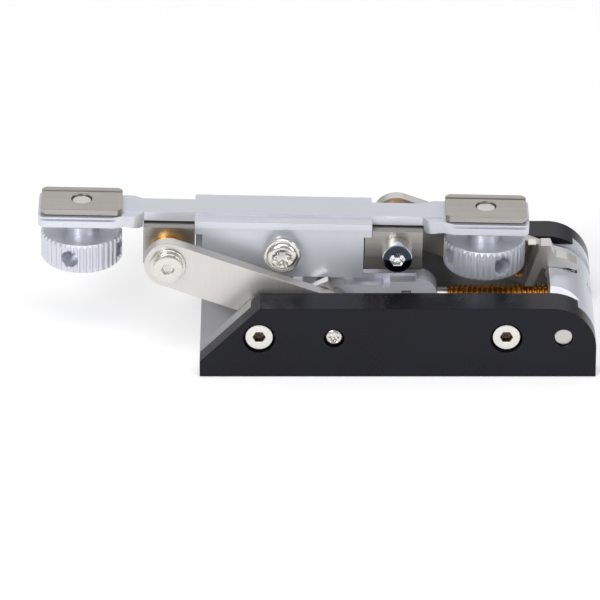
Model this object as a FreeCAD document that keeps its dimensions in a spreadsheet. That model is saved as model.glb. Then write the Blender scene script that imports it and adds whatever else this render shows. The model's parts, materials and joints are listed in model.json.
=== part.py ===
"""Height-adjustable parallel-arm riser block with two knob-clamped T-nuts on its rail.

Frame: origin at the centre of the base's underside, X along the base (the rail overhangs
towards -X), Y across it, Z up.  Millimetres.  Two equal arms, one on each side of the rail,
make a parallelogram, so the rail stays level while it rises.  A crank on the front arm's
hub moves a yoke and a fine-pitch screw along X, and a thumb lever latches that screw.
"""
import os
import re
import FreeCAD, Part
import Sketcher

doc = FreeCAD.newDocument("riser")

# ---------------------------------------------------------------- driving dimensions
DIMENSIONS = {
    # base
    "base_len": 115.6, "base_wid": 56.0, "base_ht": 22.3, "nose_ht": 4.8, "tail_round": 13.0,
    "plate_thk": 6.2, "lip_reach": 10.1, "lip_thk": 2.6, "floor_thk": 4.5, "wall_thk": 4.8,
    "block_x": 44.6, "block_front": 17.0, "block_rear": 12.4,
    # parallelogram
    "arm_len": 51.6, "arm_angle": 20.6, "arm_half": 7.0, "arm_thk": 4.0, "arm_inner": 12.7,
    "pivot_z": 12.6, "front_pivot_x": -18.6, "rear_pivot_x": 48.2, "shaft_dia": 5.0,
    "play": 0.1,
    # crank, yoke and screw
    "crank_arm": 7.5, "crank_angle": 25.0, "crank_pin_dia": 4.0, "crank_in": 9.4,
    "crank_out": 12.4, "yoke_half": 3.5, "screw_z": 12.0, "screw_dia": 7.0, "pitch": 1.5,
    "thread_depth": 0.85, "thread_start": 14.9, "thread_end": 46.4, "yoke_end": 11.8,
    # rail
    "rail_left": -105.2, "rail_right": 38.3, "bar_left": -74.6, "bar_right": 7.6,
    "rail_top": 41.1, "flange_top": 40.4, "ledge_top": 40.7, "flange_low": 38.2,
    "tongue_low": 37.4, "flange_half": 8.8, "plateau_half": 4.3, "tongue_half": 8.3,
    "hanger_low": 22.5, "hanger_half": 8.0, "step_low": 35.8, "block_half": 7.5,
    "block_low": 25.2, "block_top": 37.7, "stop_x": -33.7, "stop_z": 31.6, "stop_dia": 10.7,
    "rail_tilt": 1.2, "tilt_x": -33.5, "tilt_z": 30.75,
    # clamps
    "clamp_left_x": -92.6, "clamp_right_x": 25.7, "nut_len": 23.7, "nut_wid": 14.8,
    "nut_thk": 1.75, "knob_dia": 23.9, "knob_low": 24.0, "knob_ht": 9.0, "stud_dia": 6.0,
    "flute_dia": 1.4, "tommy_dia": 5.1, "collar_dia": 10.2, "flutes": 40,
    # release lever
    "lever_front": -1.5, "lever_back": 3.5, "lever_x": 46.0, "lever_z": 19.6,
    "lever_pin_dia": 3.0, "spring_x": 50.9,
}
sheet = doc.addObject("Spreadsheet::Sheet", "Sheet")
for row, (alias, value) in enumerate(DIMENSIONS.items(), start=1):
    sheet.set(f"A{row}", alias)
    sheet.set(f"B{row}", str(value))
    sheet.setAlias(f"B{row}", alias)
doc.recompute()

ALIAS = re.compile(r"\b(" + "|".join(sorted(DIMENSIONS, key=len, reverse=True)) + r")\b")
PLANE_ROLE = {"XZ": "XZ_Plane", "XY": "XY_Plane", "YZ": "YZ_Plane"}
AXIS_TURN = {
    "X": FreeCAD.Rotation(FreeCAD.Vector(0, 1, 0), 90),
    "Y": FreeCAD.Rotation(FreeCAD.Vector(1, 0, 0), -90),
    "Z": FreeCAD.Rotation(),
}
pieces = {}


def bound(text):
    """A formula in sheet names, written the way the expression engine wants it."""
    return ALIAS.sub(r"Sheet.\1", str(text))


def evaluate(text):
    """The present value of a formula in sheet names."""
    value = sheet.evalExpression(bound(text))
    return float(getattr(value, "Value", value))


def keep(label, feature):
    """Name a finished sub-part; its label is the name of its file."""
    feature.Label = label
    pieces[label] = feature
    return feature


# ---------------------------------------------------------------- solid primitives
def cylinder(axis, radius, start, end, centre):
    """A round bar along an axis from start to end; centre holds its two other coordinates."""
    solid = doc.addObject("Part::Cylinder", "Bar")
    solid.setExpression("Radius", bound(radius))
    solid.setExpression("Height", bound(f"({end}) - ({start})"))
    solid.Placement = FreeCAD.Placement(FreeCAD.Vector(), AXIS_TURN[axis])
    others = [letter for letter in "xyz" if letter != axis.lower()]
    solid.setExpression(f"Placement.Base.{axis.lower()}", bound(start))
    for letter, value in zip(others, centre):
        solid.setExpression(f"Placement.Base.{letter}", bound(value))
    return solid


def cone(axis, radius_low, radius_high, start, end, centre):
    """A tapered round bar along an axis."""
    solid = doc.addObject("Part::Cone", "Taper")
    solid.setExpression("Radius1", bound(radius_low))
    solid.setExpression("Radius2", bound(radius_high))
    solid.setExpression("Height", bound(f"({end}) - ({start})"))
    solid.Placement = FreeCAD.Placement(FreeCAD.Vector(), AXIS_TURN[axis])
    others = [letter for letter in "xyz" if letter != axis.lower()]
    solid.setExpression(f"Placement.Base.{axis.lower()}", bound(start))
    for letter, value in zip(others, centre):
        solid.setExpression(f"Placement.Base.{letter}", bound(value))
    return solid


def box(low, high):
    """A block between two corners."""
    solid = doc.addObject("Part::Box", "Block")
    for side, letter, start, end in zip(("Length", "Width", "Height"), "xyz", low, high):
        solid.setExpression(side, bound(f"({end}) - ({start})"))
        solid.setExpression(f"Placement.Base.{letter}", bound(start))
    return solid


def hexagon(axis, flats, start, end, centre):
    """A six-sided bar, used for the key sockets."""
    solid = doc.addObject("Part::Prism", "Socket")
    solid.Polygon = 6
    solid.setExpression("Circumradius", bound(f"({flats}) / 2 / cos(30 deg)"))
    solid.setExpression("Height", bound(f"({end}) - ({start})"))
    solid.Placement = FreeCAD.Placement(FreeCAD.Vector(), AXIS_TURN[axis])
    others = [letter for letter in "xyz" if letter != axis.lower()]
    solid.setExpression(f"Placement.Base.{axis.lower()}", bound(start))
    for letter, value in zip(others, centre):
        solid.setExpression(f"Placement.Base.{letter}", bound(value))
    return solid


def join(*solids):
    """One solid from several that meet."""
    if len(solids) == 1:
        return solids[0]
    feature = doc.addObject("Part::MultiFuse", "Joined")
    feature.Shapes = list(solids)
    feature.Refine = True
    return feature


def cut(base, *tools):
    """A solid with others taken away."""
    feature = doc.addObject("Part::Cut", "Remainder")
    feature.Base = base
    feature.Tool = join(*tools)
    return feature


def group(*solids):
    """Separate identical solids that share one node."""
    feature = doc.addObject("Part::Compound", "Group")
    feature.Links = list(solids)
    return feature


def tilted(label, feature):
    """Keep a rail piece turned by the rail's small tilt about the middle of its two pivots."""
    feature.Label = f"{label}_level"
    turned = doc.addObject("Part::Compound", "Turned")
    turned.Links = [feature]
    turned.Placement = FreeCAD.Placement(
        FreeCAD.Vector(), FreeCAD.Rotation(FreeCAD.Vector(0, 1, 0), evaluate("rail_tilt")))
    turned.setExpression("Placement.Rotation.Angle", bound("rail_tilt * 1 deg"))
    turned.setExpression("Placement.Base.x", bound(
        "tilt_x - tilt_x * cos(rail_tilt * 1 deg) - tilt_z * sin(rail_tilt * 1 deg)"))
    turned.setExpression("Placement.Base.z", bound(
        "tilt_z + tilt_x * sin(rail_tilt * 1 deg) - tilt_z * cos(rail_tilt * 1 deg)"))
    return keep(label, turned)


# ---------------------------------------------------------------- sketched bodies
class Sketched:
    """A PartDesign body whose sketch points are all bound to the sheet."""

    def __init__(self, label):
        self.body = keep(label, doc.addObject("PartDesign::Body", "Body"))

    def sketch(self, plane, level):
        """An empty sketch on an origin plane, moved along that plane's normal."""
        sketch = self.body.newObject("Sketcher::SketchObject", "Sketch")
        origin = [item for item in self.body.Origin.OriginFeatures
                  if item.Role == PLANE_ROLE[plane]][0]
        sketch.AttachmentSupport = [(origin, "")]
        sketch.MapMode = "FlatFace"
        sign = "-1" if plane == "XZ" else "1"
        sketch.setExpression("AttachmentOffset.Base.z", bound(f"{sign} * ({level})"))
        return sketch

    def draw(self, sketch, shape):
        """Closed outline of points, or a circle given as (centre x, centre y, radius)."""
        if isinstance(shape, tuple):
            x_text, y_text, radius = shape
            centre = FreeCAD.Vector(evaluate(x_text), evaluate(y_text), 0)
            index = sketch.addGeometry(Part.Circle(centre, FreeCAD.Vector(0, 0, 1), evaluate(radius)))
            self.pin_down(sketch, index, 3, x_text, y_text)
            name = sketch.addConstraint(Sketcher.Constraint("Radius", index, evaluate(radius)))
            sketch.setExpression(f"Constraints[{name}]", bound(radius))
            return
        points = [FreeCAD.Vector(evaluate(x_text), evaluate(y_text), 0) for x_text, y_text in shape]
        count = len(points)
        for number in range(count):
            sketch.addGeometry(Part.LineSegment(points[number], points[(number + 1) % count]))
        for number in range(count):
            sketch.addConstraint(Sketcher.Constraint("Coincident", number, 2, (number + 1) % count, 1))
        for number, (x_text, y_text) in enumerate(shape):
            self.pin_down(sketch, number, 1, x_text, y_text)

    def pin_down(self, sketch, index, point, x_text, y_text):
        """Bind one sketch point's two coordinates to the sheet."""
        for kind, text in (("DistanceX", x_text), ("DistanceY", y_text)):
            name = sketch.addConstraint(Sketcher.Constraint(kind, index, point, evaluate(text)))
            sketch.setExpression(f"Constraints[{name}]", bound(text))

    def pad(self, plane, shape, low, high):
        """Extrude an outline between two levels along the plane's axis."""
        sketch = self.sketch(plane, high if plane == "XZ" else low)
        self.draw(sketch, shape)
        feature = self.body.newObject("PartDesign::Pad", "Pad")
        feature.Profile = sketch
        feature.setExpression("Length", bound(f"({high}) - ({low})"))
        doc.recompute()
        return feature

    def pocket(self, plane, shape, low, high):
        """Cut an outline between two levels; it has to remove something."""
        before = self.body.Shape.Volume
        sketch = self.sketch(plane, low if plane == "XZ" else high)
        self.draw(sketch, shape)
        feature = self.body.newObject("PartDesign::Pocket", "Pocket")
        feature.Profile = sketch
        feature.setExpression("Length", bound(f"({high}) - ({low})"))
        doc.recompute()
        if self.body.Shape.Volume > before - 1e-3:
            raise SystemExit(f"{self.body.Label}: a pocket removed nothing")
        return feature

    def edges_at(self, plane, corners):
        """Names of the edges that run along the plane's normal through the given corners."""
        first, second = {"XZ": ("x", "z"), "XY": ("x", "y"), "YZ": ("y", "z")}[plane]
        names = []
        wanted = [(evaluate(one), evaluate(two)) for one, two in corners]
        for number, edge in enumerate(self.body.Tip.Shape.Edges, start=1):
            ends = [vertex.Point for vertex in edge.Vertexes]
            if len(ends) != 2:
                continue
            for one, two in wanted:
                if all(abs(getattr(end, first) - one) < 1e-3 and abs(getattr(end, second) - two) < 1e-3
                       for end in ends):
                    names.append(f"Edge{number}")
        return names

    def soften(self, kind, size, plane, corners):
        """Fillet or chamfer the edges that stand on the given corners of an outline."""
        names = self.edges_at(plane, corners)
        if not names:
            raise SystemExit(f"{self.body.Label}: no edges found to soften")
        base = self.body.Tip
        feature = self.body.newObject(f"PartDesign::{kind}", kind)
        feature.Base = (base, names)
        feature.setExpression("Radius" if kind == "Fillet" else "Size", bound(size))
        doc.recompute()
        return feature


# ---------------------------------------------------------------- base
OUTLINE = [("-base_len / 2", "0"), ("base_len / 2", "0"), ("base_len / 2", "base_ht"),
           ("-base_len / 2 + base_ht - nose_ht", "base_ht"), ("-base_len / 2", "nose_ht")]
TOP_CORNER = ("base_len / 2", "base_ht")
WALL_OUT = "base_wid / 2 - plate_thk"
LIP_LOW = "base_ht - lip_thk"
SCREW_X = ("-40.4", "31.6")


def side_plate(label, side):
    """Black side plate with the wide top lip that overhangs the channel."""
    plate = Sketched(label)
    outer, inner = "base_wid / 2", "base_wid / 2 - lip_reach"
    low, high = (f"-({outer})", f"-({inner})") if side < 0 else (inner, outer)
    plate.pad("XZ", OUTLINE, low, high)
    plate.soften("Fillet", "tail_round", "XZ", [TOP_CORNER])
    under = [("-base_len", "-1"), ("base_len", "-1"), ("base_len", LIP_LOW), ("-base_len", LIP_LOW)]
    span = (f"-({WALL_OUT})", "0") if side < 0 else ("0", WALL_OUT)
    plate.pocket("XZ", under, *span)
    through = (f"-({outer}) - 1", f"-({WALL_OUT}) + 1") if side < 0 else (f"{WALL_OUT} - 1", f"{outer} + 1")
    sink = (f"-({outer}) - 1", f"-({outer}) + 3.2") if side < 0 else (f"{outer} - 3.2", f"{outer} + 1")
    for place in SCREW_X:
        plate.pocket("XZ", (place, "pivot_z", "2.6"), *through)
        plate.pocket("XZ", (place, "pivot_z", "4.7"), *sink)
    plate.pocket("XZ", ("front_pivot_x", "pivot_z", "1.6"), *through)
    plate.pocket("XZ", ("front_pivot_x", "pivot_z", "3.0"), *sink)
    plate.pocket("XZ", ("rear_pivot_x", "pivot_z", "2.8"), *through)


def inner_wall(label, side):
    """Bright wall between a side plate and the channel, under the lip."""
    wall = Sketched(label)
    outer, inner = WALL_OUT, f"{WALL_OUT} - wall_thk"
    low, high = (f"-({outer})", f"-({inner})") if side < 0 else (inner, outer)
    wall.pad("XZ", OUTLINE, low, high)
    wall.soften("Fillet", "tail_round", "XZ", [TOP_CORNER])
    over = [("-base_len", LIP_LOW), ("base_len", LIP_LOW), ("base_len", "base_ht + 1"),
            ("-base_len", "base_ht + 1")]
    under = [("-base_len", "-1"), ("base_len", "-1"), ("base_len", "floor_thk"), ("-base_len", "floor_thk")]
    reach = ("-base_wid / 2", "0") if side < 0 else ("0", "base_wid / 2")
    wall.pocket("XZ", over, *reach)
    wall.pocket("XZ", under, *reach)
    for place in SCREW_X:
        wall.pocket("XZ", (place, "pivot_z", "2.5"), *reach)
    wall.pocket("XZ", ("front_pivot_x", "pivot_z", "shaft_dia / 2"), *reach)
    wall.pocket("XZ", ("rear_pivot_x", "pivot_z", "2.5"), *reach)


def end_block():
    """Bright block that closes the right end and carries the screw bore and the lever."""
    block = Sketched("end_block")
    block.pad("XZ", OUTLINE, "-block_front", "block_rear")
    block.soften("Fillet", "tail_round", "XZ", [TOP_CORNER])
    left = [("-base_len", "-1"), ("block_x", "-1"), ("block_x", "base_ht + 1"), ("-base_len", "base_ht + 1")]
    under = [("-base_len", "-1"), ("base_len", "-1"), ("base_len", "floor_thk"),
             ("-base_len", "floor_thk")]
    block.pocket("XZ", left, "-base_wid", "base_wid")
    block.pocket("XZ", under, "-base_wid", "base_wid")
    bevel = [("-block_front - 1", "base_ht - 3.8 - 1"), ("-block_front + 4.8", "base_ht + 1"),
             ("-block_front - 1", "base_ht + 1")]
    block.pocket("YZ", bevel, "0", "base_len")
    block.pocket("YZ", ("0", "screw_z", "screw_dia / 2 + 0.15"), "0", "base_len / 2 - 1.6")
    block.pocket("YZ", ("0", "screw_z", "2.5"), "0", "base_len")
    slot = [("block_x - 1", "lever_front - 0.25"), ("lever_x + 3.3", "lever_front - 0.25"),
            ("lever_x + 3.3", "lever_back + 0.25"), ("block_x - 1", "lever_back + 0.25")]
    block.pocket("XY", slot, "lever_z - 3.1", "base_ht + 1")
    block.pocket("XZ", ("lever_x", "lever_z", "lever_pin_dia / 2"), "-8", "8")
    block.pocket("XY", ("spring_x", "1", "2.2"), "17", "base_ht + 1")
    block.pocket("XZ", ("rear_pivot_x", "pivot_z", "2.5"), "6", "block_rear + 1")
    block.pocket("XZ", ("rear_pivot_x", "pivot_z", "2.5"), "-block_front - 1", "-12")
    for side in ("-10.5", "9.2"):
        block.pocket("XY", ("53", side, "1.5"), "0", "10")


def floor_plate():
    """Floor of the channel with two threaded holes for fastening the base to what carries it."""
    plate = box(("-base_len / 2", f"-({WALL_OUT})", "0"), ("base_len / 2", WALL_OUT, "floor_thk"))
    holes = [cylinder("Z", "2.5", "-1", "floor_thk + 1", (place, "0")) for place in ("-44", "26")]
    for side in ("-10.5", "9.2"):
        holes.append(cylinder("Z", "1.5", "-1", "floor_thk + 1", ("53", side)))
        holes.append(cone("Z", "3.1", "1.5", "0", "1.6", ("53", side)))
    keep("floor_plate", cut(plate, *holes))


def socket_head(y_face, radius, depth, flats, x_text, z_text, side):
    """A flat screw head whose face is at y_face, with a key socket sunk in it."""
    low, high = (y_face, f"{y_face} + {depth}") if side < 0 else (f"{y_face} - {depth}", y_face)
    head = cylinder("Y", radius, low, high, (x_text, z_text))
    if side < 0:
        key = hexagon("Y", flats, f"{y_face} - 1", f"{y_face} + {depth} * 0.6", (x_text, z_text))
    else:
        key = hexagon("Y", flats, f"{y_face} - {depth} * 0.6", f"{y_face} + 1", (x_text, z_text))
    return head, key


def base_screws(label, side, places, radius, flats, shank, reach):
    """A row of flush screws through one side plate."""
    solids = []
    face = "-base_wid / 2 + 0.2" if side < 0 else "base_wid / 2 - 0.2"
    for place in places:
        head, key = socket_head(face, radius, "3", flats, place, "pivot_z", side)
        if side < 0:
            rod = cylinder("Y", shank, f"{face} + 2.9", f"{face} + {reach}", (place, "pivot_z"))
        else:
            rod = cylinder("Y", shank, f"{face} - {reach}", f"{face} - 2.9", (place, "pivot_z"))
        solids.append(cut(join(head, rod), key))
    keep(label, group(*solids) if len(solids) > 1 else solids[0])


def base_hardware():
    """Screws, shafts, pins and the lever's spring that belong to the base."""
    for name, side in (("front", -1), ("rear", 1)):
        base_screws(f"plate_screws_{name}", side, SCREW_X, "4.0", "3", "2.5", "10.6")
        base_screws(f"shaft_screw_{name}", side, ["front_pivot_x"], "2.75", "2", "1.5", "6")
    shaft = cylinder("Y", "shaft_dia / 2", f"-({WALL_OUT})", WALL_OUT, ("front_pivot_x", "pivot_z"))
    keep("arm_shaft", shaft)
    spacers = []
    for low, high in (("-crank_in + 0.2", "-yoke_half - 0.15"), ("yoke_half + 0.15", "16.9")):
        tube = cylinder("Y", "4", low, high, ("front_pivot_x", "pivot_z"))
        bore = cylinder("Y", "shaft_dia / 2 + 0.02", f"{low} - 1", f"{high} + 1",
                        ("front_pivot_x", "pivot_z"))
        spacers.append(cut(tube, bore))
    keep("shaft_spacers", group(*spacers))
    rear_pivot, sunk = ("rear_pivot_x", "pivot_z"), "base_wid / 2 - 1.1"
    keep("rear_pivot_pin", cylinder("Y", "2.5", "6", sunk, rear_pivot))
    keep("locating_dowel", cylinder("Y", "2.5", f"-({sunk})", "-12", rear_pivot))
    keep("lever_pin", cylinder("Y", "lever_pin_dia / 2", "-8", "8", ("lever_x", "lever_z")))
    screws = []
    for side in ("-10.5", "9.2"):
        head = cone("Z", "3.0", "1.45", "0.1", "1.6", ("53", side))
        rod = cylinder("Z", "1.45", "1.5", "9.8", ("53", side))
        key = hexagon("Z", "2", "-1", "1.2", ("53", side))
        screws.append(cut(join(head, rod), key))
    keep("block_screws", group(*screws))


def lever_spring():
    """Short compression spring under the thumb lever, wound as a real coil."""
    wire, radius, low, high = 0.22, 1.5, 17.35, 20.6
    pitch = (high - low) / 5
    path = Part.makeHelix(pitch, high - low, radius)
    ring = Part.Wire(Part.Circle(FreeCAD.Vector(radius, 0, 0), FreeCAD.Vector(0, 1, 0), wire).toShape())
    coil = Part.Wire(path.Edges).makePipeShell([ring], True, True)
    spring = doc.addObject("Part::Feature", "Spring")
    spring.Shape = coil
    spring.Placement = FreeCAD.Placement(FreeCAD.Vector(0, 1, low), FreeCAD.Rotation())
    spring.setExpression("Placement.Base.x", bound("spring_x"))
    keep("lever_spring", spring)


# ---------------------------------------------------------------- arms
def arm(label, y_low, x_text, lower_bore, upper_bore):
    """Flat arm with round ends; it points along -X and is then turned up by the rest angle."""
    y_high = f"{y_low} + arm_thk"
    strip = box(("-arm_len", y_low, "-arm_half"), ("0", y_high, "arm_half"))
    ends = [cylinder("Y", "arm_half", y_low, y_high, (place, "0")) for place in ("0", "-arm_len")]
    bores = [cylinder("Y", lower_bore, f"{y_low} - 1", f"{y_high} + 1", ("0", "0")),
             cylinder("Y", upper_bore, f"{y_low} - 1", f"{y_high} + 1", ("-arm_len", "0"))]
    plate = cut(join(strip, *ends), *bores)
    turn_up(plate, "arm_angle", x_text)
    keep(label, plate)


def turn_up(feature, angle, x_text):
    """Swing a feature made round the origin about +Y and set it on a base pivot."""
    feature.Placement = FreeCAD.Placement(
        FreeCAD.Vector(), FreeCAD.Rotation(FreeCAD.Vector(0, 1, 0), evaluate(angle)))
    feature.setExpression("Placement.Rotation.Angle", bound(f"({angle}) * 1 deg"))
    feature.setExpression("Placement.Base.x", bound(x_text))
    feature.setExpression("Placement.Base.z", bound("pivot_z"))


def front_arm_set():
    """Front arm, its hub, the crank and the crank pin, which turn together."""
    arm("front_arm", "-arm_inner - arm_thk", "front_pivot_x", "4.5", "stud_dia / 2 + 0.05")
    centre = ("front_pivot_x", "pivot_z")
    tube = cylinder("Y", "4.5", "-arm_inner - arm_thk", "-crank_in", centre)
    bore = cylinder("Y", "shaft_dia / 2 + 0.05", "-arm_inner - arm_thk - 1", "0", centre)
    keep("arm_hub", cut(tube, bore))
    low, high = "-crank_out", "-crank_in"
    eye = cylinder("Y", "6.5", low, high, ("0", "0"))
    web = box(("-2.9", low, "0"), ("2.9", high, "crank_arm + 3"))
    seat = cylinder("Y", "4.5", f"{low} - 1", f"{high} + 1", ("0", "0"))
    hole = cylinder("Y", "crank_pin_dia / 2", f"{low} - 1", f"{high} + 1", ("0", "crank_arm"))
    crank = cut(join(eye, web), seat, hole)
    turn_up(crank, "-crank_angle", "front_pivot_x")
    keep("crank_lever", crank)
    pin_at = ("front_pivot_x - crank_arm * sin(crank_angle * 1 deg)",
              "pivot_z + crank_arm * cos(crank_angle * 1 deg)")
    keep("crank_pin", cylinder("Y", "crank_pin_dia / 2", low, "yoke_half + 0.5", pin_at))


def rear_arm_set():
    """Rear arm and the bush that it turns on."""
    arm("rear_arm", "arm_inner", "rear_pivot_x", "3.5", "stud_dia / 2 + play")
    centre = ("rear_pivot_x", "pivot_z")
    tube = cylinder("Y", "3.5", "arm_inner", "arm_inner + arm_thk", centre)
    bore = cylinder("Y", "2.55", "arm_inner - 1", "arm_inner + arm_thk + 1", centre)
    keep("rear_arm_bush", cut(tube, bore))


# ---------------------------------------------------------------- rail
UPPER_Z = "pivot_z + arm_len * sin(arm_angle * 1 deg)"
UPPER_SHIFT = "arm_len * cos(arm_angle * 1 deg)"
LEFT_X = f"front_pivot_x - {UPPER_SHIFT}"
RIGHT_X = f"rear_pivot_x - {UPPER_SHIFT}"


def top_rail():
    """One-piece rail: a raised strip all along it, and a thin clamping tongue at each end."""
    rail = Sketched("top_rail")
    flare = "tongue_low - 1.0"
    side_view = [("rail_left", "tongue_low"), ("bar_left - 10", "tongue_low"),
                 ("bar_left - 4.5", "tongue_low - 0.35"), ("bar_left - 1", flare), ("bar_left", flare),
                 ("bar_left", "flange_low"), ("bar_right", "flange_low"), ("bar_right", flare),
                 ("bar_right + 1", flare), ("bar_right + 4.5", "tongue_low - 0.35"),
                 ("bar_right + 10", "tongue_low"), ("rail_right", "tongue_low"),
                 ("rail_right", "rail_top"), ("rail_left", "rail_top")]
    rail.pad("XZ", side_view, "-flange_half", "flange_half")
    notch_left, notch_right = f"{LEFT_X} + block_half", f"{RIGHT_X} - block_half"
    for side in (-1, 1):
        inner, outer = f"{side} * plateau_half", f"{side} * 20"
        for level, start, end in (("flange_top", notch_left, notch_right),
                                  ("ledge_top", "rail_left - 1", "bar_left"),
                                  ("ledge_top", "bar_right", "rail_right + 1")):
            step = [(inner, level), (outer, level), (outer, "rail_top + 1"), (inner, "rail_top + 1")]
            rail.pocket("YZ", step, start, end)
        for direction, near, notch, far in (("-1", "bar_left", notch_left, "rail_left"),
                                            ("1", "bar_right", notch_right, "rail_right")):
            edge, slim = f"{side} * tongue_half", f"{side} * (tongue_half - 1.5)"
            outline = [(notch, inner), (f"{near} - ({direction}) * 0.4", inner),
                       (f"{near} + ({direction}) * 1.2", f"{side} * (plateau_half + 1.6)"),
                       (f"{near} + ({direction}) * 3", slim), (f"{near} + ({direction}) * 6", slim),
                       (f"{near} + ({direction}) * 9", edge), (f"{far} + ({direction}) * 1", edge),
                       (f"{far} + ({direction}) * 1", outer), (notch, outer)]
            rail.pocket("XY", outline, "30", "rail_top + 1")
    for place in ("clamp_left_x", "clamp_right_x"):
        rail.pocket("XY", (place, "0", "stud_dia / 2 + 0.2"), "30", "rail_top + 1")
    corners = [("rail_left", "-tongue_half"), ("rail_left", "tongue_half"),
               ("rail_right", "-tongue_half"), ("rail_right", "tongue_half")]
    rail.soften("Fillet", "2.2", "XY", corners)
    for side in (-1, 1):
        root, outer = f"{side} * (tongue_half - 0.8)", f"{side} * 20"
        groove = [(root, "39.5"), (outer, "39.5"), (outer, "40.2"), (root, "40.2")]
        rail.pocket("YZ", groove, "rail_left - 1", "bar_left - 3")
        rail.pocket("YZ", groove, "bar_right + 3", "rail_right + 1")
    tilted("top_rail", rail.body)


def hanger():
    """Block bolted under the bar between the two bearing blocks."""
    block = Sketched("hanger_block")
    left, right = f"{LEFT_X} + block_half", f"{RIGHT_X} - block_half"
    view = [("-57.2", "hanger_low"), ("-9.9", "hanger_low"), ("-9.9", "step_low"),
            (right, "step_low"), (right, "flange_low"), (left, "flange_low"), (left, "step_low"),
            ("-57.2", "step_low")]
    block.pad("XZ", view, "-hanger_half", "hanger_half")
    tab_end = f"{left} + 0.3"
    tab = [("-57.3", "24.5"), (tab_end, "24.5"), (tab_end, "step_low"), ("-57.3", "step_low")]
    block.pad("XZ", tab, "-1", "hanger_half")
    block.pocket("XZ", ("stop_x", "stop_z", "2.0"), "-hanger_half - 1", "0")
    for place in ("-50", "-18"):
        block.pocket("XY", (place, "0", "1.7"), "24", "flange_low + 1")
        block.pocket("XY", (place, "0", "3.2"), "hanger_low - 1", "28")
    tilted("hanger_block", block.body)


def bearing_block(label, x_text, wing=None):
    """Steel block that takes one upper pivot screw."""
    block = Sketched(label)
    view = [(f"{x_text} - block_half", "block_low"), (f"{x_text} + block_half", "block_low"),
            (f"{x_text} + block_half", "block_top"), (f"{x_text} - block_half", "block_top")]
    block.pad("XZ", view, "-block_half", "block_half")
    block.soften("Fillet", "0.8", "XZ", view[:2])
    if wing:
        root = f"{x_text} - block_half + 1"
        side = [(wing, "block_low"), (root, "block_low"), (root, "step_low - 0.15"),
                (wing, "step_low - 0.15")]
        block.pad("XZ", side, "-block_half", "block_half")
    bore = cylinder("Y", "stud_dia / 2", "-block_half - 1", "block_half + 1", (x_text, UPPER_Z))
    keep(label, cut(tilted(f"{label}_solid", block.body), bore))
    del pieces[f"{label}_solid"]


def pivot_bush(label, x_text, low, high, flange_low, flange_high):
    """Flanged brass bush that spaces an arm off its bearing block."""
    centre = (x_text, UPPER_Z)
    tube = cylinder("Y", "5.0", low, high, centre)
    flange = cylinder("Y", "5.6", flange_low, flange_high, centre)
    bore = cylinder("Y", "stud_dia / 2", f"{low} - 1", f"{high} + 1", centre)
    keep(label, cut(join(tube, flange), bore))


def rail_hardware():
    """Pivot screws, bushes, stop screw and hanger bolts carried by the rail."""
    head, key = socket_head("-19.7", "4.35", "2.8", "3", LEFT_X, UPPER_Z, -1)
    rod = cylinder("Y", "stud_dia / 2", "-17", "7.5", (LEFT_X, UPPER_Z))
    washer = cylinder("Y", "5.2", "-17.5", "-16.9", (LEFT_X, UPPER_Z))
    keep("pivot_screw_left", cut(join(head, washer, rod), key))
    pivot_bush("pivot_bush_left", LEFT_X, "-12.5", "-7.5", "-8.9", "-7.5")
    head, key = socket_head("-13", "4.5", "5.4", "4", RIGHT_X, UPPER_Z, -1)
    rod = cylinder("Y", "stud_dia / 2", "-7.7", "19.2", (RIGHT_X, UPPER_Z))
    keep("pivot_screw_right", cut(join(head, rod), key))
    pivot_bush("pivot_bush_right", RIGHT_X, "7.5", "12.5", "7.5", "8.9")
    collar = cylinder("Y", "4.6", "17", "18.8", (RIGHT_X, UPPER_Z))
    bore = cylinder("Y", "stud_dia / 2", "16", "20", (RIGHT_X, UPPER_Z))
    keep("pivot_retainer", cut(collar, bore))
    stop = ("stop_x", "stop_z")
    seat = cylinder("Y", "3.6", "-11", "-hanger_half", stop)
    rim = cylinder("Y", "stop_dia / 2", "-13.2", "-11", stop)
    dome = cone("Y", "stop_dia / 2 - 1.3", "stop_dia / 2", "-14.3", "-13.2", stop)
    shank = cylinder("Y", "2.0", "-hanger_half - 0.1", "-0.1", stop)
    socket = hexagon("Y", "3.6", "-15", "-12.4", stop)
    tilted("stop_screw", cut(join(seat, rim, dome, shank), socket))
    bolts = []
    for place in ("-50", "-18"):
        head = cylinder("Z", "2.9", "24.6", "27.9", (place, "0"))
        rod = cylinder("Z", "1.6", "27.8", "flange_low", (place, "0"))
        key = hexagon("Z", "2.5", "23", "26.4", (place, "0"))
        bolts.append(cut(join(head, rod), key))
    tilted("hanger_bolts", group(*bolts))


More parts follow.
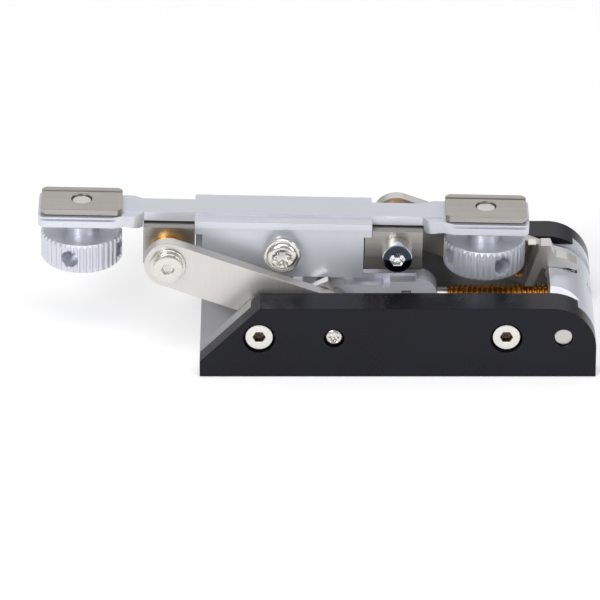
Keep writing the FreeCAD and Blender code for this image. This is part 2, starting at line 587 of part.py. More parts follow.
# ---------------------------------------------------------------- clamps
def clamp_knob(label, x_text, start_angle):
    """Fluted round nut with four radial tommy-bar holes and a plain collar on top."""
    knob = Sketched(label)
    top = "knob_low + knob_ht"
    knob.pad("XY", ("0", "0", "knob_dia / 2"), "knob_low", top)
    rim = [f"Edge{number}" for number, edge in enumerate(knob.body.Tip.Shape.Edges, start=1)
           if len(edge.Vertexes) == 1]
    disc = knob.body.Tip
    chamfer = knob.body.newObject("PartDesign::Chamfer", "Chamfer")
    chamfer.Base = (disc, rim)
    chamfer.Size = 0.8
    doc.recompute()
    flute = knob.pocket("XY", ("knob_dia / 2 + 0.05", "0", "flute_dia / 2"), "knob_low - 1", f"{top} + 1")
    polar(knob, flute, "flutes")
    hole = knob.pocket("YZ", ("0", "knob_low + knob_ht / 2", "tommy_dia / 2"), "5.5", "knob_dia / 2 + 1")
    polar(knob, hole, "4")
    knob.pad("XY", ("0", "0", "collar_dia / 2"), top, "tongue_low - 1.4")
    knob.pocket("XY", ("0", "0", "stud_dia / 2"), "knob_low - 1", "tongue_low")
    knob.body.Placement = FreeCAD.Placement(
        FreeCAD.Vector(), FreeCAD.Rotation(FreeCAD.Vector(0, 0, 1), start_angle))
    knob.body.setExpression("Placement.Base.x", bound(x_text))
    tilted(label, knob.body)


def polar(piece, feature, count):
    """Repeat a pocket round the Z axis."""
    pattern = piece.body.newObject("PartDesign::PolarPattern", "PolarPattern")
    pattern.Originals = [feature]
    axis = [item for item in piece.body.Origin.OriginFeatures if item.Role == "Z_Axis"][0]
    pattern.Axis = (axis, [""])
    pattern.Angle = 360
    pattern.setExpression("Occurrences", bound(count))
    piece.body.Tip = pattern
    doc.recompute()


def clamp_nut(label, x_text):
    """Rectangular T-nut that grips an accessory rail from inside its slot."""
    nut = Sketched(label)
    half_x, half_y = "nut_len / 2", "nut_wid / 2"
    plan = [(f"{x_text} - {half_x}", f"-{half_y}"), (f"{x_text} + {half_x}", f"-{half_y}"),
            (f"{x_text} + {half_x}", half_y), (f"{x_text} - {half_x}", half_y)]
    nut.pad("XY", plan, "rail_top", "rail_top + nut_thk")
    nut.soften("Chamfer", "1.2", "XY", plan)
    floor, over = "rail_top + nut_thk - 0.5", "rail_top + nut_thk + 1"
    groove = [("4.3", floor), ("5.1", floor), ("5.1", over), ("4.3", over)]
    nut.pocket("YZ", groove, f"{x_text} - nut_len", f"{x_text} + nut_len")
    nut.pocket("XY", (x_text, "0", "stud_dia / 2 + 0.05"), "30", "rail_top + nut_thk + 1")
    tilted(label, nut.body)


def clamp(side, x_text, start_angle):
    """One complete clamp: knob, stud, washer and T-nut."""
    clamp_knob(f"clamp_knob_{side}", x_text, start_angle)
    centre = (x_text, "0")
    stud = cylinder("Z", "stud_dia / 2", "knob_low + 0.6", "rail_top + nut_thk - 0.9", centre)
    point = cone("Z", "stud_dia / 2", "stud_dia / 2 - 0.4", "rail_top + nut_thk - 0.9",
                 "rail_top + nut_thk - 0.5", centre)
    tilted(f"clamp_stud_{side}", join(stud, point))
    ring = cylinder("Z", "6.2", "tongue_low - 1.4", "tongue_low - 0.1", centre)
    bore = cylinder("Z", "stud_dia / 2", "30", "tongue_low + 1", centre)
    tilted(f"clamp_washer_{side}", cut(ring, bore))
    clamp_nut(f"clamp_nut_{side}", x_text)


# ---------------------------------------------------------------- yoke and screw
def yoke():
    """Flat bar with an open fork for the crank pin and a slot that rides on the arm shaft."""
    bar = Sketched("yoke_link")
    pin_x = "front_pivot_x - crank_arm * sin(crank_angle * 1 deg)"
    gap = "crank_pin_dia / 2 + 0.1"
    view = [("-30.5", "8"), ("yoke_end", "6.8"), ("yoke_end", "19.2"), ("5.8", "19.2"),
            ("5.5", "18.3"), ("-2.0", "18.3"), ("-2.3", "16.3"), ("-4.4", "16.3"), ("-4.7", "17.4"),
            ("-15.4", "17.4"), ("-16.2", "21.9"), (f"{pin_x} + {gap}", "21.9"),
            (f"{pin_x} + {gap}", "17.2"), (f"{pin_x} - ({gap})", "17.2"), (f"{pin_x} - ({gap})", "21.9"),
            ("-27.4", "21.9"), ("-27.8", "17.2"), ("-30.5", "17.2")]
    bar.pad("XZ", view, "-yoke_half", "yoke_half")
    bar.soften("Fillet", "5.3", "XZ", [("yoke_end", "6.8"), ("yoke_end", "19.2")])
    ridge = [("-13", "15"), ("6", "15"), ("6", "18.9"), ("-13", "18.9")]
    bar.pad("XZ", ridge, "1", "yoke_half")
    slot = [("front_pivot_x - 9.4", "pivot_z - 2.7"), ("front_pivot_x + 2.7", "pivot_z - 2.7"),
            ("front_pivot_x + 2.7", "pivot_z + 2.7"), ("front_pivot_x - 9.4", "pivot_z + 2.7")]
    bar.pocket("XZ", slot, "-yoke_half - 1", "yoke_half + 1")
    bar.pocket("YZ", ("0", "screw_z", "1.7"), "-1", "yoke_end + 1")
    window = [("1.4", "screw_z - 3.4"), ("4.2", "screw_z - 3.4"), ("4.2", "screw_z + 3.4"),
              ("1.4", "screw_z + 3.4")]
    bar.pocket("XZ", window, "-yoke_half - 1", "yoke_half + 1")


def lead_screw():
    """Fine-pitch brass screw: thread as evenly spaced V rings, plain neck and journal."""
    centre = ("0", "screw_z")
    crest, root = "screw_dia / 2", "screw_dia / 2 - thread_depth"
    turns = int(round((evaluate("thread_end") - evaluate("thread_start")) / evaluate("pitch")))
    solids = [cylinder("X", "1.65", "-0.6", "thread_start + 0.1", centre),
              cylinder("X", root, "thread_start", "thread_end", centre)]
    for turn in range(turns):
        start = f"thread_start + pitch * {turn}"
        solids.append(cone("X", root, crest, f"{start} + 0.12", f"{start} + 0.68", centre))
        solids.append(cylinder("X", crest, f"{start} + 0.68", f"{start} + 0.82", centre))
        solids.append(cone("X", crest, root, f"{start} + 0.82", f"{start} + 1.38", centre))
    key = hexagon("X", "3", "thread_end - 4", "thread_end + 1", centre)
    keep("lead_screw", cut(join(*solids), key))
    for label, radius, low, high in (("screw_collar", "3.2", "1.6", "4.0"),
                                     ("screw_neck", "2.7", "yoke_end + 0.1", "thread_start")):
        ring = cylinder("X", radius, low, high, centre)
        bore = cylinder("X", "1.65", f"{low} - 1", f"{high} + 1", centre)
        keep(label, cut(ring, bore))


# ---------------------------------------------------------------- release lever
def release_lever():
    """Bent thumb lever whose toe stands on the screw, and the second finger beside it."""
    lever = Sketched("release_lever")
    view = [("37.6", "15.75"), ("40.0", "15.75"), ("42.6", "22.0"), ("44.0", "21.2"),
            ("lever_x - 2.8", "lever_z"), ("lever_x", "lever_z - 2.8"), ("lever_x + 2.8", "lever_z"),
            ("lever_x + 2.9", "21.9"), ("50", "22.0"), ("53.2", "20.9"), ("53.2", "22.9"), ("50", "24.7"),
            ("46.4", "25.6"), ("45.1", "29.2"), ("42.3", "29.2")]
    lever.pad("XZ", view, "lever_front", "lever_back")
    hub = [("lever_x - 2.8", "lever_z"), ("lever_x", "lever_z - 2.8"), ("lever_x + 2.8", "lever_z")]
    lever.soften("Fillet", "1.4", "XZ", hub)
    lever.soften("Fillet", "4.0", "XZ", [("50", "22.0"), ("50", "24.7")])
    lever.soften("Fillet", "1.1", "XZ", [("46.4", "25.6")])
    lever.soften("Fillet", "0.8", "XZ", [("53.2", "20.9"), ("53.2", "22.9")])
    lever.pocket("XZ", ("lever_x", "lever_z", "lever_pin_dia / 2 + 0.05"), "lever_front - 1",
                 "lever_back + 1")
    finger = Sketched("lever_finger")
    strip = [("34.6", "16.4"), ("36.8", "16.0"), ("40.4", "25.2"), ("41.1", "27.0"), ("38.7", "27.0")]
    finger.pad("XZ", strip, "lever_back", "lever_back + 3.8")
    finger.soften("Fillet", "0.9", "XZ", strip[:2])


# ---------------------------------------------------------------- build and write
side_plate("side_plate_front", -1)
side_plate("side_plate_rear", 1)
inner_wall("inner_wall_front", -1)
inner_wall("inner_wall_rear", 1)
end_block()
floor_plate()
base_hardware()
lever_spring()
front_arm_set()
rear_arm_set()
top_rail()
hanger()
bearing_block("bearing_block_left", LEFT_X)
bearing_block("bearing_block_right", RIGHT_X, wing="-9.7")
rail_hardware()
clamp("left", "clamp_left_x", -106)
clamp("right", "clamp_right_x", 26)
yoke()
lead_screw()
release_lever()
doc.recompute()

for item in doc.Objects:
    if "Invalid" in item.State or "Error" in item.State:
        raise SystemExit(f"{item.Label} failed to rebuild")
os.makedirs("parts", exist_ok=True)
for name, piece in pieces.items():
    shape = piece.Shape
    if shape.isNull() or not shape.isValid():
        raise SystemExit(f"{name} has no valid shape")
    print(f"{name:22s} solids {len(shape.Solids)}  volume {shape.Volume:10.1f}")
    shape.exportStep(f"parts/{name}.step")
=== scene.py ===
"""Studio scene of the riser block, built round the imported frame.

The object's sizes and places are in millimetres, and MM turns them into Blender's metres.  The stage, the
lights and the camera's distance are in metres.
"""
import json
import math

import bmesh
import bpy
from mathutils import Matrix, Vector


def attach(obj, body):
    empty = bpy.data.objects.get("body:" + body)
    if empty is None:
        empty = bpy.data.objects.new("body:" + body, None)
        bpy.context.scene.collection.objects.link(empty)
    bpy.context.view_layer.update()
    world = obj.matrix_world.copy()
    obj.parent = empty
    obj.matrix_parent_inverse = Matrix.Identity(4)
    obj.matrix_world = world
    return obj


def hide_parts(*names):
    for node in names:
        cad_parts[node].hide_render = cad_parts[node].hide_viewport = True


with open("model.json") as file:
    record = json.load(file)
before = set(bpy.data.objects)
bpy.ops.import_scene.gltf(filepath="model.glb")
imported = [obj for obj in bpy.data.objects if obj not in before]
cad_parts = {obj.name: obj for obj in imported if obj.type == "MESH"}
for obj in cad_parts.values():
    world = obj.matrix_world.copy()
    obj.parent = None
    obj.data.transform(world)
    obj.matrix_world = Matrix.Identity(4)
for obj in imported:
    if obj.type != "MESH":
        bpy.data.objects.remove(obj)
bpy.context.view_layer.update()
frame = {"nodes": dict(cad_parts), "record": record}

MM = 0.001
BODY_OF = {node: body for body, nodes in frame["record"]["behaviour"]["bodies"].items() for node in nodes}
SLOT_OF = {row["node"]: row["material_slot"] for row in frame["record"]["subparts"]}

# ---------------------------------------------------------------- places and sizes, as in the CAD model
SHAFT_HEIGHT = 12.6
ARM_SHAFT_X = -18.6
REAR_PIVOT_X = 48.2
PLATE_SCREWS_X = (-40.4, 31.6)
PLATE_FACE_Y = 27.8
ARM_LENGTH = 51.6
ARM_REST = math.radians(20.6)
RAIL_TILT = math.radians(1.2)
TILT_CENTRE = (-33.5, 30.75)  # X and Z of the point that the rail and what it carries are tilted about
STOP_OFFSET = (-0.2, 0.85)  # X and Z of the stop screw from there, before the tilt
LEAD_SCREW_AT = (0, 0, 12.0)
THREAD_PITCH = 1.5
THREAD_START = 14.9
THREAD_END = 46.3

ARM_REACH = ARM_LENGTH * math.cos(ARM_REST)
UPPER_PIVOT_HEIGHT = SHAFT_HEIGHT + ARM_LENGTH * math.sin(ARM_REST)
LEFT_PIVOT = (ARM_SHAFT_X - ARM_REACH, 0, UPPER_PIVOT_HEIGHT)
RIGHT_PIVOT = (REAR_PIVOT_X - ARM_REACH, 0, UPPER_PIVOT_HEIGHT)
STOP_AT = (TILT_CENTRE[0] + STOP_OFFSET[0] * math.cos(RAIL_TILT) + STOP_OFFSET[1] * math.sin(RAIL_TILT), 0,
           TILT_CENTRE[1] - STOP_OFFSET[0] * math.sin(RAIL_TILT) + STOP_OFFSET[1] * math.cos(RAIL_TILT))

# ---------------------------------------------------------------- how shapes are made and shaded
TURNED_STEPS = 96
THREAD_STEPS = 48
BEVEL_SEGMENTS = 2
BEVEL_FROM_DEGREES = 28
SHARP_FROM_DEGREES = 32
THREAD_SHARP_FROM_DEGREES = 60
WELD_DISTANCE = 1e-7
FLAT_WITHIN_DEGREES = 1.0
SOFT_EDGES = {  # bevel widths
    "side_plate_front": 0.35, "side_plate_rear": 0.35, "inner_wall_front": 0.2, "inner_wall_rear": 0.2,
    "end_block": 0.25, "floor_plate": 0.2, "front_arm": 0.25, "rear_arm": 0.25, "crank_lever": 0.2,
    "top_rail": 0.14, "hanger_block": 0.2, "bearing_block_left": 0.3, "bearing_block_right": 0.3,
    "clamp_nut_left": 0.18, "clamp_nut_right": 0.18, "yoke_link": 0.3, "release_lever": 0.08,
    "lever_finger": 0.2, "clamp_knob_left": 0.12, "clamp_knob_right": 0.12,
}
SHORT_EDGED = {"end_block"}  # its shortest edges would hold the bevel back, so the bevel isn't clamped
SPECIAL_FINISH = {  # nodes that look different from the others of their slot; the channel walls and floor carry painted shade, the yoke painted light
    "inner_wall_front": "channel_silver_painted_shade", "inner_wall_rear": "channel_silver_painted_shade",
    "floor_plate": "channel_silver_painted_shade", "yoke_link": "yoke_silver_painted_light", "lever_finger": "finger_steel",
}


# ---------------------------------------------------------------- material helpers
class Finish:
    """A node material under construction, with short helpers for the usual chains."""

    def __init__(self, name, metallic):
        self.material = bpy.data.materials.new(name)
        self.material.use_nodes = True
        self.nodes = self.material.node_tree.nodes
        self.links = self.material.node_tree.links
        self.shader = self.nodes["Principled BSDF"]
        self.shader.inputs["Metallic"].default_value = metallic
        self.place = self.nodes.new("ShaderNodeTexCoord").outputs["Object"]

    def noise(self, scale, stretch=(1, 1, 1), detail=4.0, roughness=0.55):
        """Noise in the object's own metres, stretched along any axis."""
        mapping = self.nodes.new("ShaderNodeMapping")
        mapping.inputs["Scale"].default_value = stretch
        self.links.new(self.place, mapping.inputs["Vector"])
        noise = self.nodes.new("ShaderNodeTexNoise")
        noise.inputs["Scale"].default_value = scale
        noise.inputs["Detail"].default_value = detail
        noise.inputs["Roughness"].default_value = roughness
        self.links.new(mapping.outputs["Vector"], noise.inputs["Vector"])
        return noise.outputs["Fac"]

    def along(self, axis):
        """The place along one of the object's own axes, metres."""
        parts = self.nodes.new("ShaderNodeSeparateXYZ")
        self.links.new(self.place, parts.inputs["Vector"])
        return parts.outputs[axis]

    def size_of(self, value):
        """A signal without its sign."""
        node = self.nodes.new("ShaderNodeMath")
        node.operation = "ABSOLUTE"
        self.links.new(value, node.inputs[0])
        return node.outputs["Value"]

    def ramp(self, value, low, high, start=0.3, end=0.7):
        """Go from low to high while a signal goes from start to end."""
        node = self.nodes.new("ShaderNodeMapRange")
        node.inputs["From Min"].default_value = start
        node.inputs["From Max"].default_value = end
        node.inputs["To Min"].default_value = low
        node.inputs["To Max"].default_value = high
        self.links.new(value, node.inputs["Value"])
        return node.outputs["Result"]

    def tint(self, value, dark, light):
        """Blend two colours by a signal."""
        node = self.nodes.new("ShaderNodeMix")
        node.data_type = "RGBA"
        node.inputs["A"].default_value = (*dark, 1)
        node.inputs["B"].default_value = (*light, 1)
        self.links.new(value, node.inputs["Factor"])
        return node.outputs["Result"]

    def mix_noises(self, first, second, share):
        """Weighted sum of two signals."""
        node = self.nodes.new("ShaderNodeMix")
        node.data_type = "FLOAT"
        node.inputs["Factor"].default_value = share
        self.links.new(first, node.inputs["A"])
        self.links.new(second, node.inputs["B"])
        return node.outputs["Result"]

    def bump(self, value, depth_mm):
        """Add surface relief of a real depth."""
        node = self.nodes.new("ShaderNodeBump")
        node.inputs["Strength"].default_value = 1.0
        node.inputs["Distance"].default_value = depth_mm * MM
        self.links.new(value, node.inputs["Height"])
        self.links.new(node.outputs["Normal"], self.shader.inputs["Normal"])

    def finish(self, tone, roughness=None):
        """Connect the colour and roughness signals and return the material."""
        self.links.new(tone, self.shader.inputs["Base Color"])
        if roughness is not None:
            self.links.new(roughness, self.shader.inputs["Roughness"])
        return self.material


def shade(colour, factor):
    """The same colour, lighter or darker."""
    return tuple(min(1.0, channel * factor) for channel in colour)


def blasted(name, colour, roughness, metallic):
    """Fine bead-blasted and anodised aluminium."""
    look = Finish(name, metallic)
    fine = look.noise(2600, detail=2)
    cloud = look.noise(45, detail=5)
    look.bump(fine, depth_mm=0.004)
    speckle = look.ramp(look.mix_noises(cloud, fine, 0.35), 0, 1)
    tone = look.tint(speckle, shade(colour, 0.93), shade(colour, 1.05))
    return look.finish(tone, look.ramp(cloud, roughness - 0.05, roughness + 0.06))


def brushed(name, colour, roughness, lines_along, depth_mm, metallic, contrast):
    """Metal with fine lines that run along one axis."""
    look = Finish(name, metallic)
    stretch = tuple(0.02 if axis == lines_along else 1.0 for axis in "XYZ")
    lines = look.noise(5200, stretch, detail=3, roughness=0.7)
    broad = look.noise(900, stretch, detail=4, roughness=0.6)
    cloud = look.noise(60, detail=4)
    mixed = look.mix_noises(lines, broad, 0.5)
    look.bump(mixed, depth_mm)
    dark = shade(colour, 1 - contrast)
    light = shade(colour, 1 + contrast * 0.6)
    tone = look.tint(look.ramp(mixed, 0, 1), dark, light)
    worn = look.mix_noises(cloud, mixed, 0.6)
    return look.finish(tone, look.ramp(worn, roughness - 0.09, roughness + 0.1))


def polished(name, colour, roughness, grain_mm=0.0015):
    """Plated metal with faint handling smears."""
    look = Finish(name, metallic=1.0)
    smear = look.noise(180, (1, 1, 0.4), detail=6, roughness=0.7)
    fine = look.noise(3000, detail=2)
    look.bump(fine, grain_mm)
    tone = look.tint(look.ramp(smear, 0, 1), shade(colour, 0.94), shade(colour, 1.03))
    return look.finish(tone, look.ramp(smear, max(0.04, roughness - 0.05), roughness + 0.08))


def turned_face(name, colour, roughness, metallic, painted_socket_shade=False):
    """Plated screw head with very faint tool marks; a plate screw's key socket is painted dark inside as
    shade.
    """
    look = Finish(name, metallic)
    marks = look.noise(2400, (1, 0.1, 1), detail=2)
    look.bump(marks, depth_mm=0.0002)
    if painted_socket_shade:
        # painted shade: inside the key socket the colour goes dark brown-black, standing for the shade in
        # the recess
        from_middle = look.size_of(look.along("Y"))  # the heads' faces are at 27.3 mm
        outside_socket = look.ramp(from_middle, 0, 1, start=26.65 * MM, end=27.05 * MM)
        tone = look.tint(outside_socket, (0.10, 0.075, 0.055), colour)
    else:
        cloud = look.ramp(look.noise(350, detail=3), 0, 1)
        tone = look.tint(cloud, shade(colour, 0.97), shade(colour, 1.02))
    return look.finish(tone, look.ramp(marks, roughness - 0.04, roughness + 0.04))


def chrome_painted_dark_reflection():
    """Chrome screw whose lapped front face carries a painted dark reflection inside a bright rim."""
    chrome = (0.74, 0.745, 0.77)
    look = Finish("polished_chrome", metallic=1.0)
    # painted reflection: the front face is coloured near black, standing for the dark surroundings it would
    # mirror
    painted_reflection_mask = look.ramp(look.along("Y"), 1, 0, start=-13.0 * MM, end=-12.85 * MM)
    tone = look.tint(painted_reflection_mask, chrome, (0.035, 0.042, 0.06))
    return look.finish(tone, look.ramp(look.noise(220, detail=4), 0.07, 0.12))


def black_anodised():
    """Black side plates: satin, slightly blue, with a fine grain and a few light rubs."""
    colour = (0.0055, 0.0058, 0.0100)
    look = Finish("black_anodised", metallic=0.0)
    look.shader.inputs["Specular IOR Level"].default_value = 0.2
    fine = look.noise(3200, detail=2)
    cloud = look.noise(35, detail=6)
    look.bump(fine, depth_mm=0.0035)
    tone = look.tint(look.ramp(cloud, 0, 1), shade(colour, 0.85), shade(colour, 1.25))
    return look.finish(tone, look.ramp(look.mix_noises(cloud, fine, 0.4), 0.24, 0.34))


def channel_walls_painted_shade():
    """Inner walls and floor: silver darkened by painted shade inside the channel, their own bright silver on
    the machined right end.
    """
    # painted shade: this grey is the silver darkened to stand for the shade inside the channel
    painted_shade_grey = (0.42, 0.42, 0.435)
    look = Finish("channel_silver_painted_shade", metallic=0.55)
    fine = look.noise(2600, detail=2)
    look.bump(fine, depth_mm=0.004)
    right_end = look.ramp(look.along("X"), 0, 1, start=44.0 * MM, end=44.6 * MM)
    tone = look.tint(right_end, painted_shade_grey, (0.68, 0.70, 0.76))
    return look.finish(tone, look.ramp(fine, 0.40, 0.48))


MATERIALS = {
    "black_anodised": black_anodised(),
    "silver_anodised": blasted("silver_anodised", (0.68, 0.70, 0.76), 0.4, 0.65),
    "channel_silver_painted_shade": channel_walls_painted_shade(),
    # painted light: the yoke's silver is made lighter and less metallic to stand for light on its face in
    # the channel
    "yoke_silver_painted_light": blasted("yoke_silver_painted_light", (0.86, 0.88, 0.95), 0.36, 0.45),
    "finger_steel": polished("finger_steel", (0.62, 0.58, 0.53), 0.14, 0.0005),
    "satin_nickel": turned_face("satin_nickel", (0.70, 0.68, 0.645), 0.26, 0.9),
    "plate_screw": turned_face("plate_screw", (0.76, 0.74, 0.70), 0.28, 0.85, painted_socket_shade=True),
    "bright_nickel": polished("bright_nickel", (0.72, 0.70, 0.67), 0.22, 0.0005),
    "polished_chrome": chrome_painted_dark_reflection(),
    "arm_stainless": brushed("arm_stainless", (0.66, 0.64, 0.615), 0.34, "Z", 0.0012, 0.85, 0.06),
    "block_steel": brushed("block_steel", (0.43, 0.41, 0.38), 0.32, "X", 0.004, 0.95, 0.18),
    "plain_steel": polished("plain_steel", (0.58, 0.57, 0.55), 0.28),
    "spring_steel": polished("spring_steel", (0.38, 0.38, 0.40), 0.28),
    "bush_brass": polished("bush_brass", (0.78, 0.47, 0.15), 0.22),
    "screw_brass": polished("screw_brass", (0.66, 0.31, 0.05), 0.26),
}


# ---------------------------------------------------------------- shape helpers
def add_piece(name, mesh, node_names, material=None):
    """Put a finished mesh in the scene in place of CAD nodes and let it ride on their body."""
    piece = bpy.data.objects.new(name, mesh)
    bpy.context.scene.collection.objects.link(piece)
    slot = SLOT_OF[node_names[0]]
    mesh.materials.clear()
    mesh.materials.append(material or MATERIALS[slot])
    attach(piece, BODY_OF[node_names[0]])
    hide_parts(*node_names)
    return piece


def softened(node, width_mm, material):
    """The CAD shape with its edges broken, as a machinist leaves them."""
    mesh = bpy.data.meshes.new(f"{node}_soft")
    work = bmesh.new()
    work.from_mesh(frame["nodes"][node].data)
    bmesh.ops.remove_doubles(work, verts=work.verts, dist=WELD_DISTANCE)
    flat = math.radians(FLAT_WITHIN_DEGREES)
    bmesh.ops.dissolve_limit(work, angle_limit=flat, verts=work.verts, edges=work.edges)
    work.to_mesh(mesh)
    work.free()
    piece = add_piece(f"{node}_soft", mesh, [node], material)
    bevel = piece.modifiers.new("Bevel", "BEVEL")
    bevel.width = width_mm * MM
    bevel.segments = BEVEL_SEGMENTS
    bevel.limit_method = "ANGLE"
    bevel.angle_limit = math.radians(BEVEL_FROM_DEGREES)
    bevel.use_clamp_overlap = node not in SHORT_EDGED
    bake(piece)
    settle(piece, SHARP_FROM_DEGREES)


def settle(piece, sharp_from):
    """Shade the mesh smooth with sharp edges kept and flat faces kept flat."""
    smooth_by_angle(piece.data, sharp_from)
    normals = piece.modifiers.new("Normals", "WEIGHTED_NORMAL")
    normals.mode = "FACE_AREA"
    normals.weight = 100
    normals.keep_sharp = True
    bake(piece)


def bake(piece):
    """Replace the mesh by what its modifiers make of it."""
    bpy.context.view_layer.update()
    graph = bpy.context.evaluated_depsgraph_get()
    done = bpy.data.meshes.new_from_object(piece.evaluated_get(graph))
    piece.modifiers.clear()
    piece.data = done


def smooth_by_angle(mesh, degrees):
    """Smooth shading with sharp edges kept where faces meet steeply."""
    work = bmesh.new()
    work.from_mesh(mesh)
    limit = math.radians(degrees)
    for face in work.faces:
        face.smooth = True
    for edge in work.edges:
        edge.smooth = len(edge.link_faces) == 2 and edge.calc_face_angle(0) < limit
    work.to_mesh(mesh)
    work.free()


# ---------------------------------------------------------------- turned parts
def ring_radius(radius, shape, angle):
    """Radius of a round, hexagonal or six-lobed ring at an angle; radius is the circle round it."""
    if shape == "hex":
        half_side = math.pi / 6
        return radius * math.cos(half_side) / math.cos((angle % (2 * half_side)) - half_side)
    if shape == "lobed":
        return radius * (0.865 + 0.135 * math.cos(6 * angle))
    return radius


def turned(work, rings, origin, axis):
    """Add a turned solid to a working mesh, from (radius, height, shape) rings set along an axis."""
    turn = Vector(axis).to_track_quat("Z", "Y").to_matrix()
    loops = []
    for radius, height, shape in rings:
        loop = []
        for step in range(TURNED_STEPS):
            angle = 2 * math.pi * step / TURNED_STEPS
            reach = ring_radius(radius, shape, angle)
            spot = Vector((reach * math.cos(angle), reach * math.sin(angle), height))
            loop.append(work.verts.new((turn @ spot + Vector(origin)) * MM))
        loops.append(loop)
    for lower, upper in zip(loops, loops[1:]):
        for step in range(TURNED_STEPS):
            after = (step + 1) % TURNED_STEPS
            work.faces.new((lower[step], lower[after], upper[after], upper[step]))
    work.faces.new(list(reversed(loops[0])))
    work.faces.new(loops[-1])


def finished(work, name, node_names, sharp_from=SHARP_FROM_DEGREES, material=None):
    """Turn a working mesh into a scene piece in place of CAD nodes."""
    bmesh.ops.recalc_face_normals(work, faces=work.faces)
    mesh = bpy.data.meshes.new(name)
    work.to_mesh(mesh)
    work.free()
    piece = add_piece(name, mesh, node_names, material)
    settle(piece, sharp_from)


def turned_piece(node, rings, origins, axis, material=None):
    """Equal turned solids, one at each origin, in place of one CAD node."""
    work = bmesh.new()
    for origin in origins:
        turned(work, rings, origin, axis)
    finished(work, f"{node}_turned", [node], material=material)


def round_rings(*outline):
    """Round rings from (radius, height) points."""
    return [(radius, height, "round") for radius, height in outline]


def hex_socket_rings(key, depth, face, head, edge):
    """Rings from the bottom of a hexagon socket up and over the rim of the head; heights grow outward."""
    return [
        (key * 0.35, face - depth - 0.25, "round"),
        (key * 0.93, face - depth, "hex"),
        (key, face - 0.18, "hex"),
        (key + 0.16, face, "hex"),
        *round_rings((head - edge, face), (head - edge * 0.3, face - edge * 0.3), (head, face - edge)),
    ]


def helix(work, crest, root, origin):
    """Add the lead screw's V thread along +X, with a rounded crest and root."""
    profile = ((0.0, 0.0), (0.08, 0.03), (0.42, 0.94), (0.5, 1.0), (0.58, 0.94), (0.92, 0.03))
    run_out = 0.5
    turns = int(round((THREAD_END - THREAD_START) / THREAD_PITCH)) + 1
    rows = []
    for turn in range(turns):
        for part, lift in profile:
            row = []
            for step in range(THREAD_STEPS + 1):
                angle = 2 * math.pi * step / THREAD_STEPS
                along = THREAD_START + THREAD_PITCH * (turn + part + step / THREAD_STEPS - 1)
                fade = min(1.0, max(0.0, (THREAD_END - along) / run_out))
                reach = root + (crest - root) * lift * fade
                along = min(max(along, THREAD_START), THREAD_END)
                row.append(work.verts.new(Vector((along + origin[0], origin[1] + reach * math.cos(angle),
                                                  origin[2] + reach * math.sin(angle))) * MM))
            rows.append(row)
    for lower, upper in zip(rows, rows[1:]):
        for step in range(THREAD_STEPS):
            work.faces.new((lower[step], lower[step + 1], upper[step + 1], upper[step]))


# ---------------------------------------------------------------- stage, light and camera
def stage():
    """Pale seamless floor and soft studio light."""
    mesh = bpy.data.meshes.new("floor")
    half_width = 3.0
    corners = [(x * half_width, y * half_width, 0) for x, y in ((-1, -1), (1, -1), (1, 1), (-1, 1))]
    mesh.from_pydata(corners, [], [(0, 1, 2, 3)])
    floor = bpy.data.objects.new("floor", mesh)
    bpy.context.scene.collection.objects.link(floor)
    floor.location.z = -0.2 * MM
    paper = Finish("paper", metallic=0.0)
    paper.shader.inputs["Roughness"].default_value = 0.9
    tone = paper.tint(paper.ramp(paper.noise(8), 0, 1), (0.91, 0.91, 0.92), (0.93, 0.93, 0.94))
    paper.shader.inputs["Emission Color"].default_value = (1, 1, 1, 1)
    paper.shader.inputs["Emission Strength"].default_value = 0.3
    mesh.materials.append(paper.finish(tone))
    world = bpy.data.worlds.new("studio")
    world.use_nodes = True
    world.node_tree.nodes["Background"].inputs["Color"].default_value = (1.0, 1.0, 1.0, 1)
    world.node_tree.nodes["Background"].inputs["Strength"].default_value = 0.34
    bpy.context.scene.world = world
    bpy.context.scene.view_settings.view_transform = "Standard"


def softbox(name, place, width, height, power):
    """A rectangular soft light that looks at the frame's origin."""
    light = bpy.data.lights.new(name, "AREA")
    light.shape = "RECTANGLE"
    light.size = width
    light.size_y = height
    light.energy = power
    lamp = bpy.data.objects.new(name, light)
    lamp.location = place
    lamp.rotation_euler = (Vector((0, 0, 0)) - Vector(place)).to_track_quat("-Z", "Y").to_euler()
    bpy.context.scene.collection.objects.link(lamp)


def camera():
    """Long lens that faces the object's front and looks down on it."""
    elevation = math.radians(28)
    distance = 1.8
    width_seen = 174 * MM  # across the picture, at the target
    sensor = 36
    target = Vector((-28.5, -28.0, 25.3)) * MM
    lens = bpy.data.cameras.new("camera")
    lens.sensor_width = sensor
    lens.lens = distance / width_seen * sensor
    lens.clip_end = 20
    eye = bpy.data.objects.new("camera", lens)
    eye.location = target + distance * Vector((0, -math.cos(elevation), math.sin(elevation)))
    eye.rotation_euler = (math.radians(90) - elevation, 0, 0)
    bpy.context.scene.collection.objects.link(eye)
    bpy.context.scene.camera = eye


# ---------------------------------------------------------------- pieces
def cad_nodes():
    """Finish every CAD node by its slot, and break the edges of those that are looked at closely."""
    for node, piece in frame["nodes"].items():
        for slot in piece.material_slots:
            slot.material = MATERIALS[SLOT_OF[node]]
    for node, width in SOFT_EDGES.items():
        softened(node, width, MATERIALS[SPECIAL_FINISH.get(node, SLOT_OF[node])])


def plate_screws():
    """Two hexagon-socket screws in each side plate."""
    head, shank = 4.0, 2.5
    rings = hex_socket_rings(key=1.85, depth=2.3, face=-0.5, head=head, edge=0.2)
    rings += round_rings((head, -3), (shank, -3), (shank, -10.6))
    for side, node in ((-1, "plate_screws_front"), (1, "plate_screws_rear")):
        origins = [(place, side * PLATE_FACE_Y, SHAFT_HEIGHT) for place in PLATE_SCREWS_X]
        turned_piece(node, rings, origins, (0, side, 0), MATERIALS["plate_screw"])


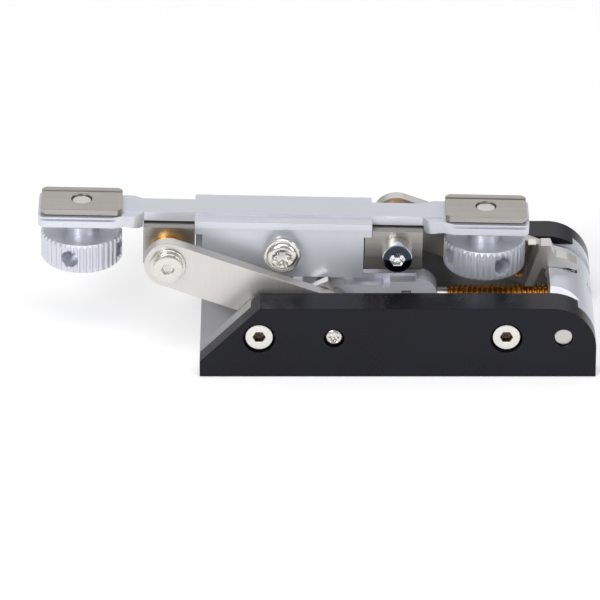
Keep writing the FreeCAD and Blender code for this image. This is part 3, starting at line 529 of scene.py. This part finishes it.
def shaft_screws():
    """A six-lobed screw with a rounded head at each end of the arm shaft."""
    head, shank = 2.75, 1.5
    rings = [(0.5, -1.8, "round"), (1.35, -1.5, "lobed"), (1.55, -0.5, "lobed")]
    rings += round_rings((1.8, -0.3), (2.2, -0.42), (2.55, -0.75), (head, -1.2))
    rings += round_rings((head, -3), (shank, -3), (shank, -6))
    for side, node in ((-1, "shaft_screw_front"), (1, "shaft_screw_rear")):
        turned_piece(node, rings, [(ARM_SHAFT_X, side * PLATE_FACE_Y, SHAFT_HEIGHT)], (0, side, 0))


def left_pivot_screw():
    """Hexagon-socket screw with a groove round its head and a plain washer under it."""
    head, groove, washer, shank = 4.35, 4.2, 5.2, 3.0
    rings = hex_socket_rings(key=1.85, depth=1.6, face=19.7, head=head, edge=0.35)
    rings += round_rings((head, 18.6), (groove, 18.45), (groove, 18.2), (head, 18.05))
    rings += round_rings((head, 17.5), (washer - 0.15, 17.5), (washer, 17.35), (washer, 16.9))
    rings += round_rings((shank, 16.9), (shank, -7.5))
    turned_piece("pivot_screw_left", rings, [LEFT_PIVOT], (0, -1, 0))


def right_pivot_screw():
    """Chrome hexagon-socket screw of the rear arm's upper pivot."""
    head, shank = 4.5, 3.0
    rings = hex_socket_rings(key=2.3, depth=2.4, face=13, head=head, edge=0.45)
    rings += round_rings((head, 7.6), (shank, 7.6), (shank, -18.9), (shank - 0.3, -19.2))
    turned_piece("pivot_screw_right", rings, [RIGHT_PIVOT], (0, -1, 0))


def stop_screw():
    """Six-lobed screw with a domed head on a collar; the front arm rests on it."""
    dome, collar, neck, shank = 4.62, 5.35, 3.6, 2.0
    rings = [(0.9, 12.0, "round"), (2.3, 12.4, "lobed"), (2.75, 13.9, "lobed")]
    rings += round_rings((3.0, 14.2), (3.5, 14.12), (4.0, 13.9), (4.4, 13.55), (dome, 13.1), (dome, 12.7))
    rings += round_rings((5.1, 12.6), (collar, 12.35), (collar, 11.4), (5.1, 11.0))
    rings += round_rings((neck, 11.0), (neck, 8.0), (shank, 8.0), (shank, 0.1))
    turned_piece("stop_screw", rings, [STOP_AT], (0, -1, 0))


def lead_screw():
    """Brass screw: a thin end, a core and the helix round it."""
    thin_end, core, root, crest = 1.65, 2.62, 2.6, 3.5
    overlap = 0.1
    work = bmesh.new()
    turned(work, round_rings((thin_end, -0.6), (thin_end, THREAD_START + overlap)), LEAD_SCREW_AT, (1, 0, 0))
    turned(work, round_rings((core, THREAD_START), (core, THREAD_END + overlap)), LEAD_SCREW_AT, (1, 0, 0))
    helix(work, crest, root, LEAD_SCREW_AT)
    finished(work, "lead_screw_thread", ["lead_screw"], THREAD_SHARP_FROM_DEGREES)


stage()
softbox("key", (-0.45, -0.85, 0.6), width=0.35, height=0.35, power=5.0)
softbox("overhead", (0.0, -0.38, 0.85), width=0.9, height=0.45, power=2.3)
softbox("back", (0.0, 1.0, 0.62), width=1.4, height=0.4, power=1.7)
softbox("side", (0.8, -0.6, 0.45), width=0.3, height=0.5, power=2.2)
camera()

cad_nodes()
plate_screws()
shaft_screws()
left_pivot_screw()
right_pivot_screw()
stop_screw()
lead_screw()
